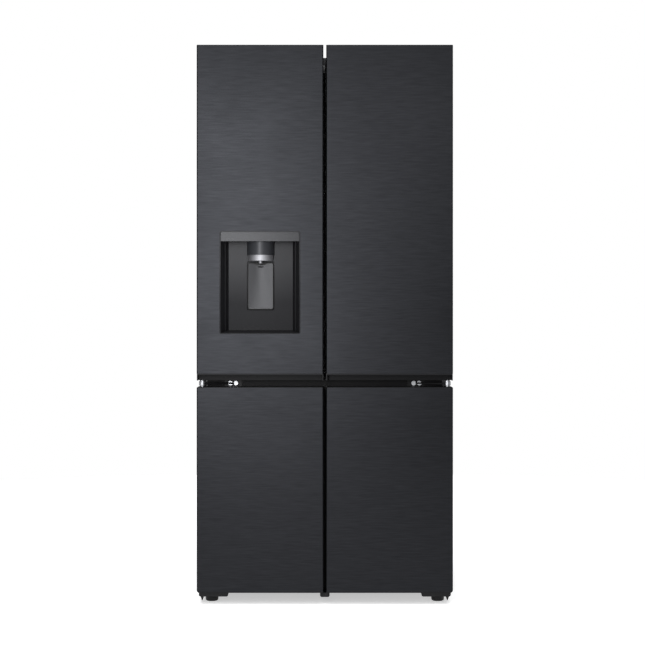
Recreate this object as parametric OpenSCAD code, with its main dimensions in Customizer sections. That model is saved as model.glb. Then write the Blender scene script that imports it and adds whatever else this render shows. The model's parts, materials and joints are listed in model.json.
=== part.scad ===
// French door refrigerator: two upper doors over two lower doors, with a water dispenser.
// Millimetres. +X is to the right as seen from the front, -Y is the front and +Z is up.
// The origin is on the floor, under the centre of the overall box.
// Each door is drawn as a left door: the right one is its mirror image.

/* [Overall] */
// Overall width across the doors
width = 826; // [816:1:836]
// Overall height from the floor to the top of the doors
height = 1806; // [1796:1:1816]
// Overall depth from the door fronts to the back panel
depth = 730; // [720:1:740]

/* [Doors] */
// Thickness of a door, front skin to inner face
door_t = 95; // [93:1:97]
// Gap between the left and right doors
door_gap = 9; // [8:0.5:10]
// Height of the middle of the gap between upper and lower doors
split_z = 713.5; // [710:0.5:717]
// Height of that gap
split_gap = 22; // [20:0.5:24]
// Underside of the lower doors
lower_z0 = 40.5; // [40:0.5:43]
// Radius along the doors' front edges
door_edge_r = 4; // [3:0.5:5]
// Thickness of a door's steel skin
skin_t = 1.2; // [0.8:0.1:1.5]
// Depth of the finger pockets behind the door fronts
pocket_d = 42; // [38:1:44]
// Height of the bottom cap that shows under an upper door's skin
cap_show = 22; // [18:1:24]
// How far the upper doors' liner ribs stand behind the doors' inner face
rib_reach = 26; // [22:1:27]
// Depth of the upper doors' bins behind the hinge axis
bin_reach = 130; // [110:1:132]

/* [Hinges] */
// Hinge axis from the cabinet's side
hinge_inset = 14; // [13:0.5:15]
// Hinge axis behind the door fronts
hinge_back = 55; // [54:0.5:56]
// Radius of the hinge pins
pin_r = 6; // [5:0.5:6.5]
// Radial running clearance of every pin, stem and shaft
run_gap = 0.05; // [0.03:0.01:0.1]

/* [Cabinet] */
// Cabinet side inside the door's side
cab_inset = 2; // [1:0.5:3]
// Cabinet top below the door tops
cab_drop = 24; // [22:1:26]
// Gap between a door's inner face and the cabinet front, which the gasket fills
seal_gap = 12; // [11:0.5:13]
// Thickness of the wrapper, liners and rails
sheet_t = 1.5; // [1:0.1:2]
// Foam and skins at the sides of the fresh food compartment
fridge_wall = 45; // [40:1:46]
// Foam and skins at the sides of the freezer
freezer_wall = 55; // [52:1:56]
// Thickness of the partition between fridge and freezer
partition_h = 80; // [78:1:84]
// Thickness of the wall between the two freezer compartments
divider_w = 50; // [48:1:54]

/* [Dispenser] */
// Width of the dispenser opening
disp_w = 260; // [250:1:262]
// Height of the dispenser opening
disp_h = 331; // [320:1:340]
// Centre of the dispenser, left of the middle
disp_x = 209; // [206:1:210]
// Underside of the dispenser opening
disp_z0 = 875; // [870:1:880]
// Width of the paddle
paddle_w = 81; // [76:1:82]
// Height of the paddle
paddle_h = 150; // [140:1:152]

/* [Feet] */
// Radius of a levelling foot
foot_r = 21; // [18:1:23]
// Radius of a rear roller
roller_r = 20; // [18:1:21]

/* [Hidden] */
$fn = 48;
eps = 1;

// Fronts, backs and the hinge axis
front_y = -depth / 2;
back_y = depth / 2;
hinge_x = width / 2 - hinge_inset;
hinge_y = front_y + hinge_back;
door_back_y = front_y + door_t;
cab_y0 = door_back_y + seal_gap;
door_x = [-width / 2, -door_gap / 2];

// Doors
upper_z0 = split_z + split_gap / 2;
lower_z1 = split_z - split_gap / 2;
upper_skin_z0 = upper_z0 + cap_show;
cap_rim = 1;
skin_back_y = door_back_y - 4;
pocket_y = front_y + pocket_d;
pocket_h = 31;
lower_pocket_h = 34;
cap_wall = 3;
plate_h = 5.5;
tray_wall = 2;
part_gap = 0.2;
trim_h = 4;
step_z = height - 29;
lip_back_y = front_y + 33;
bush_r = 11;
bush_h = 28;
gasket_w = 16;
gasket_in = 8;
pan_y = hinge_y + 26;
liner_y0 = pan_y - 2;
rib_w = 18;
rib_top = hinge_y + 40 + rib_reach;
freezer_rib_top = hinge_y + 65;
bin_wall = 3;

// Cabinet
cab_x = width / 2 - cab_inset;
cab_z0 = 44;
cab_z1 = height - cab_drop;
flange_w = 25;
body_x = cab_x - sheet_t;
body_y0 = cab_y0 + sheet_t;
body_y1 = back_y - sheet_t;
body_z0 = cab_z0 + 2;
body_z1 = cab_z1 - sheet_t;
fridge_x = cab_x - fridge_wall;
part_z0 = split_z - partition_h / 2 + 1.5;
part_z1 = part_z0 + partition_h;
fridge_z1 = cab_z1 - 47;
rear_wall_y = back_y - 60;
freezer_x = cab_x - freezer_wall;
freezer_z0 = 95;
bay_y = 150;
bay_z1 = 320;
step_y = bay_y - 60;
step_floor_z = bay_z1 + 50;

// Dispenser
disp_wall = 2.5;
disp_slant = 23;
disp_floor_slant = 9;
disp_r = 5;
disp_left = -disp_x - disp_w / 2;
disp_right = -disp_x + disp_w / 2;
disp_z1 = disp_z0 + disp_h;
disp_back_y = hinge_y + 8;
bar_h = 30;
bar_z0 = disp_z1 - disp_wall - bar_h;
nozzle_r = 44;
nozzle_z0 = bar_z0 - 43;
ring_h = 19;
ring_r = 41;
ring_t = 5;
paddle_gap = 4.25;
paddle_y = hinge_y + 4;
paddle_t = 5;
paddle_z1 = nozzle_z0 - ring_h - 6;
pivot_y = hinge_y + 14;
pivot_z = paddle_z1 - 11;
pivot_r = 3;
slot_y = hinge_y + 20;

// Mullion bar, which folds on the left door's inner edge
bar_u = [350, 397];
bar_v = [53, 70];
bar_pivot = [356, 61.5];
mullion_z = [part_z1 + 10, fridge_z1 - 10];

// Shelves, crispers and freezer drawers
shelf_zs = [945, 1150, 1345, 1540];
shelf_y = [-165, 250];
shelf_x = [-fridge_x + 4, -4];
glass_t = 4;
shelf_h = 14;
tub_wall = 3;
crisper_x = [-334, -10];
crisper_y = [hinge_y + 172, 240];
crisper_z = [766, 932];
drawer_x = [-331, -36];
drawer_y = [hinge_y + 125, 222];
drawer_short_y = 78;
upper_drawer_z = [400, 640];
lower_drawer_z = [106, 350];
rail_t = 3;

// Base, feet and rollers
plate_z = [30, 36];
foot_x = 370;
foot_y = -270;
stem_r = 5;
roller_x = 365;
roller_y = 318;
roller_w = 16;
axle_r = 4;

// Machine bay
compressor_at = [215, 255];
fan_y = 256;
fan_z = 180;
fan_x = -20;
fan_r = 62;
fan_shaft_r = 3;
valve_at = [-330, 130];
valve_r = 3.25;
gland_at = [330, 130];
gland_r = 5;

// Fresh food air duct and its fan
duct_x = 110;
duct_y = 262;
duct_z = [975, 1705];
duct_fan_z = 1610;
duct_fan_r = 46;

// Middle hinge
arm_z = [710, 715];
barrel_z = [706.5, 720.5];
barrel_r = 10.5;
hinge_bolt_r = 7.5;

// ---------- shared shapes ----------

// A box between three pairs of limits
module block(x, y, z) {
  translate([x[0], y[0], z[0]]) cube([x[1] - x[0], y[1] - y[0], z[1] - z[0]]);
}

// A rectangle with rounded corners between two pairs of limits
module rounded_rect(x, y, r) {
  translate([x[0] + r, y[0]]) square([x[1] - x[0] - 2 * r, y[1] - y[0]]);
  translate([x[0], y[0] + r]) square([x[1] - x[0], y[1] - y[0] - 2 * r]);
  for (cx = [x[0] + r, x[1] - r], cy = [y[0] + r, y[1] - r]) translate([cx, cy]) circle(r);
}

// A panel facing the front, with rounded corners
module front_panel(x, y, z, r) {
  translate([0, y[1], 0]) rotate([90, 0, 0]) linear_extrude(y[1] - y[0]) rounded_rect(x, z, r);
}

// An outline in Y and Z, given as [y, z] points, swept from x[0] to x[1]
module side_profile(x, points) {
  translate([x[0], 0, 0]) rotate([90, 0, 90]) linear_extrude(x[1] - x[0]) polygon(points);
}

// A shaft or hole along X or Y
module rod_x(x, y, z, r) {
  translate([x[0], y, z]) rotate([0, 90, 0]) cylinder(h = x[1] - x[0], r = r);
}

module rod_y(x, y, z, r) {
  translate([x, y[0], z]) rotate([-90, 0, 0]) cylinder(h = y[1] - y[0], r = r);
}

module rod_z(x, y, z, r) {
  translate([x, y, z[0]]) cylinder(h = z[1] - z[0], r = r);
}

// Turns a left-hand shape into a right-hand one when right is true
module side(right) {
  if (right) mirror([1, 0, 0]) children();
  else children();
}

module both_sides() {
  children();
  mirror([1, 0, 0]) children();
}

// Plan outline of a left door, inset all round, with rounded front corners
module door_plan(inset, back) {
  x0 = door_x[0] + inset;
  x1 = door_x[1] - inset;
  y0 = front_y + inset;
  r = door_edge_r - inset;
  translate([x0, y0 + r]) square([x1 - x0, back - y0 - r]);
  translate([x0 + r, y0]) square([x1 - x0 - 2 * r, 2 * r]);
  for (x = [x0 + r, x1 - r]) translate([x, y0 + r]) circle(r);
}

module door_slab(inset, back, z) {
  translate([0, 0, z[0]]) linear_extrude(z[1] - z[0]) door_plan(inset, back);
}

// An open-top box with walls of thickness t
module tub(x, y, z, t) {
  difference() {
    block(x, y, z);
    block([x[0] + t, x[1] - t], [y[0] + t, y[1] - t], [z[0] + t, z[1] + eps]);
  }
}

// A rectangular ring facing the front
module front_ring(x, y, z, w) {
  difference() {
    block(x, y, z);
    block([x[0] + w, x[1] - w], [y[0] - eps, y[1] + eps], [z[0] + w, z[1] - w]);
  }
}

// ---------- cabinet ----------

module cabinet_wrapper() {
  color("dimgray") {
    both_sides() block([-cab_x, -body_x], [cab_y0, body_y1], [cab_z0, cab_z1]);
    block([-body_x, body_x], [cab_y0, body_y1], [body_z1, cab_z1]);
    both_sides() block([-body_x, flange_w - cab_x], [cab_y0, body_y0], [cab_z0, body_z1]);
    block([flange_w - cab_x, cab_x - flange_w], [cab_y0, body_y0], [cab_z1 - flange_w, body_z1]);
  }
}

module back_panel() {
  color("gainsboro") block([-cab_x, cab_x], [body_y1, back_y], [bay_z1, cab_z1]);
}

// The freezer compartment's side outline, grown by t on every side but the front
function freezer_outline(t) = [
  [body_y0 - (t > 0 ? 0 : sheet_t + eps), freezer_z0 - t],
  [step_y + t, freezer_z0 - t],
  [step_y + t, step_floor_z - t],
  [rear_wall_y + t, step_floor_z - t],
  [rear_wall_y + t, part_z0 + t],
  [body_y0 - (t > 0 ? 0 : sheet_t + eps), part_z0 + t]
];

module freezer_space(t) {
  side_profile([-freezer_x - t, -divider_w / 2 + t], freezer_outline(t));
}

module fridge_space(t) {
  y0 = t > 0 ? body_y0 : cab_y0 - eps;
  block([-fridge_x - t, fridge_x + t], [y0, rear_wall_y + t], [part_z1 - t, fridge_z1 + t]);
}

module cabinet_foam() {
  color("khaki") difference() {
    block([-body_x, body_x], [body_y0, body_y1], [body_z0, body_z1]);
    fridge_space(sheet_t);
    both_sides() freezer_space(sheet_t);
    block([-width, width], [bay_y, depth], [0, bay_z1]);
  }
}

// Ribs along the liner's sides carry the shelves
module fridge_liner() {
  color("whitesmoke") {
    difference() {
      union() {
        fridge_space(sheet_t);
        block([flange_w - cab_x, cab_x - flange_w], [cab_y0, body_y0], [part_z1, cab_z1 - flange_w]);
      }
      fridge_space(0);
    }
    both_sides() for (z = shelf_zs)
      block([-fridge_x, 10 - fridge_x], [shelf_y[0], shelf_y[1]], [z - 6, z]);
  }
}

module freezer_liner() {
  color("whitesmoke") both_sides() difference() {
    union() {
      freezer_space(sheet_t);
      block([flange_w - cab_x, -freezer_x], [cab_y0, body_y0], [freezer_z0, part_z0]);
    }
    freezer_space(0);
  }
}

module front_rails() {
  rail_x = cab_x - flange_w;
  color("dimgray") {
    block([-rail_x, rail_x], [cab_y0, body_y0], [part_z0, part_z1]);
    block([-divider_w / 2, divider_w / 2], [cab_y0, body_y0], [freezer_z0, part_z0]);
    block([-rail_x, rail_x], [cab_y0, body_y0], [cab_z0, freezer_z0]);
  }
}

// ---------- base, hinges and brackets ----------

module base_frame() {
  beam_y = [body_y0, -200];
  color("slategray") {
    difference() {
      union() {
        block([-body_x, body_x], [body_y0, body_y1], [cab_z0, body_z0]);
        block([-body_x, body_x], beam_y, [plate_z[1], cab_z0]);
        both_sides() block([-body_x, -body_x + 2], [bay_y, body_y1], [body_z0, bay_z1]);
      }
      both_sides() block([-foot_x - 12, -foot_x + 12], [body_y0 - eps, -255], [0, cab_z0]);
    }
    both_sides() for (x = [roller_w / 2 + 1, -roller_w / 2 - 4])
      block([x - roller_x, x + 3 - roller_x], [roller_y - 14, roller_y + 14], [10, cab_z0]);
    both_sides() rod_x([-roller_x - 14, -roller_x + 14], roller_y, roller_r, axle_r);
  }
}

// A flat arm of width w between two points in plan, rounded about the first
module arm(p, q, w, z) {
  along = q - p;
  translate([p[0], p[1], z[0]]) rotate(atan2(along[1], along[0])) linear_extrude(z[1] - z[0]) {
    translate([0, -w / 2]) square([norm(along), w]);
    circle(w / 2);
  }
}

module upper_hinges() {
  z0 = cab_z1;
  color("silver") both_sides() {
    block([-hinge_x, 70 - hinge_x], [hinge_y - 8, hinge_y + 146], [z0, z0 + 5]);
    rod_z(-hinge_x, hinge_y, [z0, z0 + 5], 9);
    rod_z(-hinge_x, hinge_y, [step_z - bush_h + 2, z0], pin_r);
    for (y = [75, 125]) rod_z(35 - hinge_x, hinge_y + y, [z0 + 5, z0 + 10], 6);
  }
}

module cover_shape(inset) {
  translate([-hinge_x, hinge_y]) {
    circle(13 - inset);
    translate([-4 + inset, -12 + inset]) square([79 - 2 * inset, 162 - 2 * inset]);
  }
}

module hinge_covers() {
  color("black") both_sides() difference() {
    translate([0, 0, cab_z1]) linear_extrude(21) cover_shape(0);
    translate([0, 0, cab_z1 - eps]) linear_extrude(19) cover_shape(2.5);
  }
}

module hinge_bolts() {
  for (x = [-310, -292]) rod_y(x, [cab_y0 - 10, cab_y0 - 3], split_z - 1, hinge_bolt_r);
}

module middle_hinges() {
  foot_at = [-300, cab_y0];
  color("black") both_sides() {
    block([-328, -272], [cab_y0 - 3, cab_y0], [arm_z[0] - 10, arm_z[1] + 10]);
    difference() {
      arm([-hinge_x, hinge_y], foot_at, 2 * barrel_r - 1, arm_z);
      block([-width, 0], [cab_y0, 0], [0, height]);
      rod_z(-hinge_x, hinge_y, [0, height], barrel_r);
      hinge_bolts();
    }
  }
}

// The pins that the doors turn on, with their collars, and the bolts through the arms' feet
module middle_hinge_pins() {
  color("silver") both_sides() {
    rod_z(-hinge_x, hinge_y, barrel_z, barrel_r);
    rod_z(-hinge_x, hinge_y, [lower_z1 - bush_h + 3, upper_z0 + bush_h - 3], pin_r);
    hinge_bolts();
  }
}

// A plate under the cabinet with a turned-down front edge
module under_plate(x, front, lip) {
  block(x, [front, -200], plate_z);
  difference() {
    front_panel(x, [front - 2.5, front], [plate_z[0] - lip, plate_z[1] + 12], 6);
    block([x[0] - eps, x[1] + eps], [front - 5, front + eps], [plate_z[1], plate_z[1] + 20]);
  }
}

module lower_hinges() {
  color("black") both_sides() {
    difference() {
      under_plate([-408, -313], hinge_y - 25, 6);
      rod_z(-foot_x, foot_y, [0, 60], stem_r + run_gap);
    }
    rod_z(-hinge_x, hinge_y, [plate_z[1], lower_z0 - 0.4], 9.5);
    rod_z(-hinge_x, hinge_y, [lower_z0 - 0.4, lower_z0 + bush_h - 3], pin_r);
    translate([-hinge_x, hinge_y, 7]) rotate_extrude() polygon([[0, 0], [1, 0], [7, 17], [7, 23], [0, 23]]);
  }
}

module centre_bracket() {
  color("dimgray") under_plate([-15.5, 15.5], hinge_y - 22, 8);
}

// The block at the ceiling guides the mullion bar's pin; the small block below is its stop
module mullion_guide() {
  color("silver") {
    difference() {
      block([-28, 24], [-250, -222], [fridge_z1 - 7, fridge_z1]);
      translate([-30, -222, fridge_z1 - 9]) difference() {
        cylinder(h = 6, r = 24);
        translate([0, 0, -eps]) cylinder(h = 8, r = 16);
      }
    }
    block([-5, 0], [cab_y0 - 2.5, cab_y0], [part_z1 - 9, part_z1 - 2]);
  }
}

// Bright parts of the hinges
module door_hinges() {
  upper_hinges();
  middle_hinge_pins();
}

// Black parts of the hinges, and the bracket between the lower doors
module door_brackets() {
  middle_hinges();
  lower_hinges();
  centre_bracket();
}

module foot(x) {
  color("black") translate([x, foot_y, 0]) rotate_extrude() polygon([
    [0, 0], [foot_r - 5, 0], [foot_r - 1.5, 2], [foot_r, 6], [foot_r, 15], [foot_r - 4, 19],
    [9, 19], [9, 28], [stem_r, 28], [stem_r, 38.5], [0, 38.5]
  ]);
}

module roller(x) {
  w = roller_w / 2;
  color("gray") translate([x, roller_y, roller_r]) rotate([0, 90, 0]) difference() {
    translate([0, 0, -w]) cylinder(h = roller_w, r = roller_r);
    translate([0, 0, -w - eps]) cylinder(h = roller_w + 2 * eps, r = axle_r + run_gap);
  }
}

// ---------- machine bay and cooling ----------

module compressor() {
  x = compressor_at[0];
  y = compressor_at[1];
  color("black") {
    translate([x, y, 0]) rotate_extrude() polygon([
      [0, 62], [58, 62], [76, 76], [80, 100], [80, 190], [74, 212], [52, 226], [0, 230]
    ]);
    block([x - 92, x + 92], [y - 60, y + 60], [56, 62]);
    for (dx = [-78, 78], dy = [-48, 48]) rod_z(x + dx, y + dy, [body_z0, 56], 11);
    rod_z(x - 40, y + 30, [215, 262], 4);
    rod_z(x + 40, y + 30, [215, 262], 4);
  }
}

// Finned condenser block, its fan's shroud, motor and shaft
module condenser() {
  motor_x = fan_x + 40;
  color("gray") {
    for (i = [0:20]) block([-330 + i * 10, -328.5 + i * 10], [200, 312], [70, 290]);
    for (y = [222, 256, 290], z = [95, 150, 205, 262]) rod_x([-338, -120], y, z, 4);
    block([-338, -120], [200, 312], [body_z0, 70]);
    difference() {
      block([fan_x - 14, fan_x + 12], [fan_y - 78, fan_y + 78], [body_z0, fan_z + 78]);
      rod_x([fan_x - 20, fan_x + 20], fan_y, fan_z, fan_r + 6);
    }
    rod_x([motor_x - 20, motor_x + 20], fan_y, fan_z, 22);
    rod_x([fan_x - 8, motor_x - 20], fan_y, fan_z, fan_shaft_r);
    block([motor_x - 8, motor_x + 8], [fan_y - 10, fan_y + 10], [body_z0, fan_z - 20]);
    block([fan_x + 12, motor_x - 8], [fan_y - 10, fan_y + 10], [body_z0, 60]);
  }
}

// Pitched blades about +Z, joined to a bored hub
module fan_wheel(r, hub_r, h, blades, shaft_r) {
  difference() {
    union() {
      cylinder(h = h, r = hub_r);
      for (i = [0:blades - 1]) rotate(i * 360 / blades) translate([0, 0, h / 2]) rotate([28, 0, 0])
        translate([hub_r - 2, -r * 0.24, -1]) cube([r - hub_r, r * 0.48, 2]);
    }
    translate([0, 0, -eps]) cylinder(h = h + 2 * eps, r = shaft_r + run_gap);
  }
}

module condenser_fan() {
  color("white") translate([fan_x - 9, fan_y, fan_z]) rotate([0, 90, 0])
    fan_wheel(fan_r, 20, 16, 5, fan_shaft_r);
}

module evaporator_fan() {
  color("white") translate([0, duct_y + 12, duct_fan_z]) rotate([-90, 0, 0])
    fan_wheel(duct_fan_r, 14, 12, 5, 2);
}

// Louvred cover with holes for the water inlet and the cord's gland
module machine_cover() {
  color("gray") difference() {
    block([-cab_x, cab_x], [body_y1, back_y], [cab_z0, bay_z1]);
    for (x = [-250:50:250], z = [80:16:280])
      block([x - 19, x + 19], [body_y1 - eps, back_y + eps], [z, z + 6]);
    rod_y(valve_at[0], [body_y1 - eps, back_y + eps], valve_at[1], 9.5);
    rod_y(gland_at[0], [body_y1 - eps, back_y + eps], gland_at[1], 9.5);
  }
}

module water_valve() {
  x = valve_at[0];
  z = valve_at[1];
  color("white") difference() {
    union() {
      rod_y(x, [330, back_y], z, 9);
      block([x - 20, x + 20], [322, 350], [z - 20, z + 20]);
      block([x - 12, x + 12], [322, 350], [body_z0, z]);
      rod_z(x, 336, [z, z + 50], 14);
    }
    rod_y(x, [back_y - 18, back_y + eps], z, valve_r);
  }
}

module cord_gland() {
  color("black") difference() {
    union() {
      rod_y(gland_at[0], [355, back_y], gland_at[1], 9.25);
      rod_y(gland_at[0], [355, body_y1], gland_at[1], 13);
    }
    rod_y(gland_at[0], [355 - eps, back_y + eps], gland_at[1], gland_r);
  }
}

// Finned coils behind the freezer's duct covers
module evaporator() {
  color("silver") both_sides() {
    for (i = [0:18]) block([-312 + i * 14, -310.8 + i * 14], [256, 296], [410, 560]);
    for (y = [266, 286], z = [430, 470, 510, 545]) rod_x([-318, -50], y, z, 4);
  }
}

module duct_covers() {
  color("whitesmoke") {
    difference() {
      block([-duct_x, duct_x], [duct_y, rear_wall_y], duct_z);
      block([3 - duct_x, duct_x - 3], [duct_y + 3, rear_wall_y + eps], [duct_z[0] + 3, duct_z[1] - 3]);
      for (z = [1030:100:1430], x = [-75, 75])
        block([x - 22, x + 22], [duct_y - eps, duct_y + 4], [z, z + 8]);
      for (a = [0:60:300]) translate([0, duct_y - eps, duct_fan_z]) rotate([0, a, 0])
        block([-4, 4], [0, 5], [14, 38]);
    }
    rod_y(0, [duct_y + 26, rear_wall_y], duct_fan_z, 18);
    rod_y(0, [duct_y + 10, duct_y + 26], duct_fan_z, 2);
    both_sides() difference() {
      block([-freezer_x, -divider_w / 2], [238, 241], [step_floor_z, part_z0]);
      for (z = [400:40:640], x = [-260, -120])
        block([x - 40, x + 40], [237, 242], [z, z + 8]);
    }
  }
}

// ---------- shelves and drawers ----------

module shelf_frames() {
  x = shelf_x;
  y = shelf_y;
  color("gainsboro") both_sides() for (z = shelf_zs) {
    difference() {
      block(x, y, [z, z + shelf_h]);
      block([x[0] + 14, x[1] - 14], [y[0] + 14, y[1] - 14], [z - eps, z + shelf_h + eps]);
      block([x[0] + 8, x[1] - 8], [y[0] + 8, y[1] - 8], [z + shelf_h - glass_t - 2, z + shelf_h + eps]);
    }
    if (z > duct_z[0]) block([-20, -6], [y[1], duct_y], [z, z + 10]);
  }
}

module shelf_glass() {
  color("lightcyan") both_sides() for (z = shelf_zs)
    block([shelf_x[0] + 8, shelf_x[1] - 8], [shelf_y[0] + 8, shelf_y[1] - 8],
      [z + shelf_h - glass_t - 2, z + shelf_h - 2]);
}

// Side rails that the drawers' rims run on, fixed to the liners
module drawer_rails() {
  rim_gap = 0.5;
  color("white") both_sides() {
    crisper_top = crisper_z[1] - rail_t - rim_gap;
    block([-fridge_x, crisper_x[0] - 1], [crisper_y[0] + 8, crisper_y[1]], [crisper_top - 12, crisper_top]);
    block([-fridge_x, -fridge_x + 4], [crisper_y[0] + 8, crisper_y[1]], [crisper_top - 40, crisper_top]);
    for (z = [upper_drawer_z, lower_drawer_z]) {
      y1 = z == upper_drawer_z ? drawer_y[1] : drawer_short_y;
      top = z[1] - rail_t - rim_gap;
      block([-freezer_x, drawer_x[0] - 1], [drawer_y[0] + 8, y1], [top - 12, top]);
      block([drawer_x[1] + 1, -divider_w / 2], [drawer_y[0] + 8, y1], [top - 12, top]);
    }
  }
  color("white") {
    crisper_top = crisper_z[1] - rail_t - rim_gap;
    block([-3, 3], [crisper_y[0] + 8, crisper_y[1]], [part_z1, crisper_top]);
    block([crisper_x[1] + 1, -crisper_x[1] - 1], [crisper_y[0] + 8, crisper_y[1]],
      [crisper_top - 6, crisper_top]);
  }
}

// An open tub with a finger scoop in its front and rims that run on the rails
module drawer(x, y, z, rims) {
  mid = (x[0] + x[1]) / 2;
  difference() {
    union() {
      tub(x, y, z, tub_wall);
      block([x[0] - rims[0], x[0] + eps], [y[0] + 4, y[1]], [z[1] - rail_t, z[1]]);
      block([x[1] - eps, x[1] + rims[1]], [y[0] + 4, y[1]], [z[1] - rail_t, z[1]]);
    }
    front_panel([mid - 60, mid + 60], [y[0] - eps, y[0] + tub_wall + eps], [z[1] - 28, z[1] + 20], 12);
  }
}

module crisper() {
  color("aliceblue", 0.6) drawer(crisper_x, crisper_y, crisper_z, [8, 5]);
}

module upper_drawer() {
  color("aliceblue", 0.6) drawer(drawer_x, drawer_y, upper_drawer_z, [10, 7]);
}

module lower_drawer() {
  color("aliceblue", 0.6) drawer(drawer_x, [drawer_y[0], drawer_short_y], lower_drawer_z, [10, 7]);
}

module drawer_pair() {
  upper_drawer();
  lower_drawer();
}

// ---------- doors ----------

// The whole dispenser hollow: slanted sides and floor, and the paddle's slot behind it
module dispenser_hollow(inset) {
  x = [disp_left + inset, disp_right - inset];
  z = [disp_z0 + inset, disp_z1 - inset];
  back = disp_back_y + disp_wall - inset;
  front = front_y - eps;
  slot_w = paddle_w / 2 + paddle_gap + disp_wall - inset;
  intersection() {
    translate([0, 0, disp_z0 - 1]) linear_extrude(disp_h + 2) polygon([
      [x[0], front], [x[1], front], [x[1] - disp_slant, back], [x[0] + disp_slant, back]
    ]);
    side_profile([disp_left - 1, disp_right + 1], [
      [front, z[0]], [back, z[0] + disp_floor_slant], [back, z[1]], [front, z[1]]
    ]);
    front_panel(x, [front, back], z, disp_r - inset / 2);
  }
  front_panel([-disp_x - slot_w, -disp_x + slot_w], [back - eps, slot_y + disp_wall - inset],
    [paddle_z1 - paddle_h - 4 - disp_wall + inset, paddle_z1 + 4.5 + disp_wall - inset], 3);
}

// Rounds the lower outer corner of a lower door
module corner_cut(r) {
  x = door_x[0];
  difference() {
    block([x - eps, x + r], [front_y - eps, door_back_y + eps], [lower_z0 - eps, lower_z0 + r]);
    rod_y(x + r, [front_y - 2, door_back_y + 2], lower_z0 + r, r);
  }
}

module upper_skin(dispenser) {
  color([0.22, 0.22, 0.23]) difference() {
    door_slab(0, skin_back_y, [upper_skin_z0, height - cap_rim]);
    door_slab(skin_t, skin_back_y + eps, [upper_skin_z0 - eps, height]);
    block([-width, 0], [lip_back_y, 0], [step_z, height]);
    if (dispenser)
      front_panel([disp_left, disp_right], [front_y - eps, front_y + 5], [disp_z0, disp_z1], disp_r);
  }
}

module lower_skin() {
  color([0.2, 0.2, 0.21]) difference() {
    door_slab(0, skin_back_y, [lower_z0 + trim_h, lower_z1 - cap_rim]);
    door_slab(skin_t, skin_back_y + eps, [lower_z0, lower_z1]);
    corner_cut(10);
  }
}

// A solid bush on the hinge axis, kept clear of the pocket in front of it
module bush(z) {
  difference() {
    rod_z(-hinge_x, hinge_y, z, bush_r);
    block([-width, 0], [front_y, pocket_y + cap_wall + part_gap], [0, height]);
  }
}

// Top and bottom caps of an upper door, with the hinge bushes, and its finger pocket
module upper_caps() {
  tray_x = door_x + [0.5, -0.5];
  color("black") difference() {
    union() {
      door_slab(skin_t, skin_back_y, [step_z - 10, step_z]);
      door_slab(skin_t, lip_back_y, [step_z, height - cap_rim]);
      door_slab(0.4, lip_back_y, [height - cap_rim, height]);
      bush([step_z - bush_h, step_z]);
      difference() {
        block(tray_x, [pocket_y + cap_wall + part_gap, skin_back_y], [upper_z0, upper_skin_z0]);
        block(tray_x + [tray_wall, -tray_wall], [pocket_y, 0], [upper_z0 + plate_h, height]);
      }
      bush([upper_z0, upper_z0 + bush_h]);
    }
    rod_z(-hinge_x, hinge_y, [step_z - bush_h + 1, step_z + eps], pin_r + run_gap);
    rod_z(-hinge_x, hinge_y, [upper_z0 - eps, upper_z0 + bush_h - 1], pin_r + run_gap);
  }
  upper_pocket();
}

// The finger pocket behind an upper door's front, open below
module upper_pocket() {
  wall_x = [door_x[0] + skin_t, door_x[1] - skin_t];
  tray_x = door_x + [0.5, -0.5];
  z = [upper_skin_z0 - trim_h, upper_skin_z0 + pocket_h];
  color("black") {
    block(tray_x, [pocket_y, pocket_y + cap_wall], [upper_z0, upper_skin_z0]);
    block(wall_x, [pocket_y, pocket_y + cap_wall], [upper_skin_z0, z[1]]);
    block(wall_x, [front_y + 4, pocket_y + cap_wall], [z[1] - cap_wall, z[1]]);
    block(wall_x, [front_y + 4, front_y + 7], z);
    block(wall_x + [0.6, -0.6], [front_y + 0.5, front_y + 7], [z[0], upper_skin_z0]);
    for (x = [wall_x[0], wall_x[1] - cap_wall])
      block([x, x + cap_wall], [front_y + 4, pocket_y], z);
    for (x = [tray_x[0], tray_x[1] - cap_wall])
      block([x, x + cap_wall], [front_y + 4, pocket_y], [upper_z0, upper_skin_z0]);
  }
}

// Top and bottom caps of a lower door, with the hinge bushes, and its finger pocket
module lower_caps() {
  wall_x = [door_x[0] + skin_t, door_x[1] - skin_t];
  back_y = [pocket_y + part_gap, skin_back_y];
  color("black") difference() {
    union() {
      door_slab(0.4, skin_back_y, [lower_z0, lower_z0 + trim_h]);
      door_slab(skin_t, skin_back_y, [lower_z0 + trim_h, lower_z0 + 12]);
      bush([lower_z0, lower_z0 + bush_h]);
      block(door_x + [0.5, -0.5], back_y, [lower_z1 - cap_rim, lower_z1]);
      block(wall_x, back_y, [lower_z1 - plate_h, lower_z1 - cap_rim]);
      bush([lower_z1 - bush_h, lower_z1]);
    }
    rod_z(-hinge_x, hinge_y, [lower_z0 - eps, lower_z0 + bush_h - 1], pin_r + run_gap);
    rod_z(-hinge_x, hinge_y, [lower_z1 - bush_h + 1, lower_z1 + eps], pin_r + run_gap);
    corner_cut(10);
  }
  lower_pocket();
}

// The finger pocket behind a lower door's front, open above
module lower_pocket() {
  wall_x = [door_x[0] + skin_t, door_x[1] - skin_t];
  z = [lower_z1 - lower_pocket_h, lower_z1];
  color("black") {
    block(wall_x, [pocket_y, pocket_y + cap_wall], [z[0], z[1] - plate_h - part_gap]);
    block(wall_x, [front_y + 4, pocket_y], [z[0], z[0] + cap_wall]);
    block(wall_x, [front_y + 4, front_y + 7], z);
    block(door_x + [4, -4], [front_y + 0.5, front_y + 7], [z[1] - cap_rim, z[1]]);
    for (x = [wall_x[0], wall_x[1] - cap_wall])
      block([x, x + cap_wall], [front_y + 4, pocket_y], z);
  }
}

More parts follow.
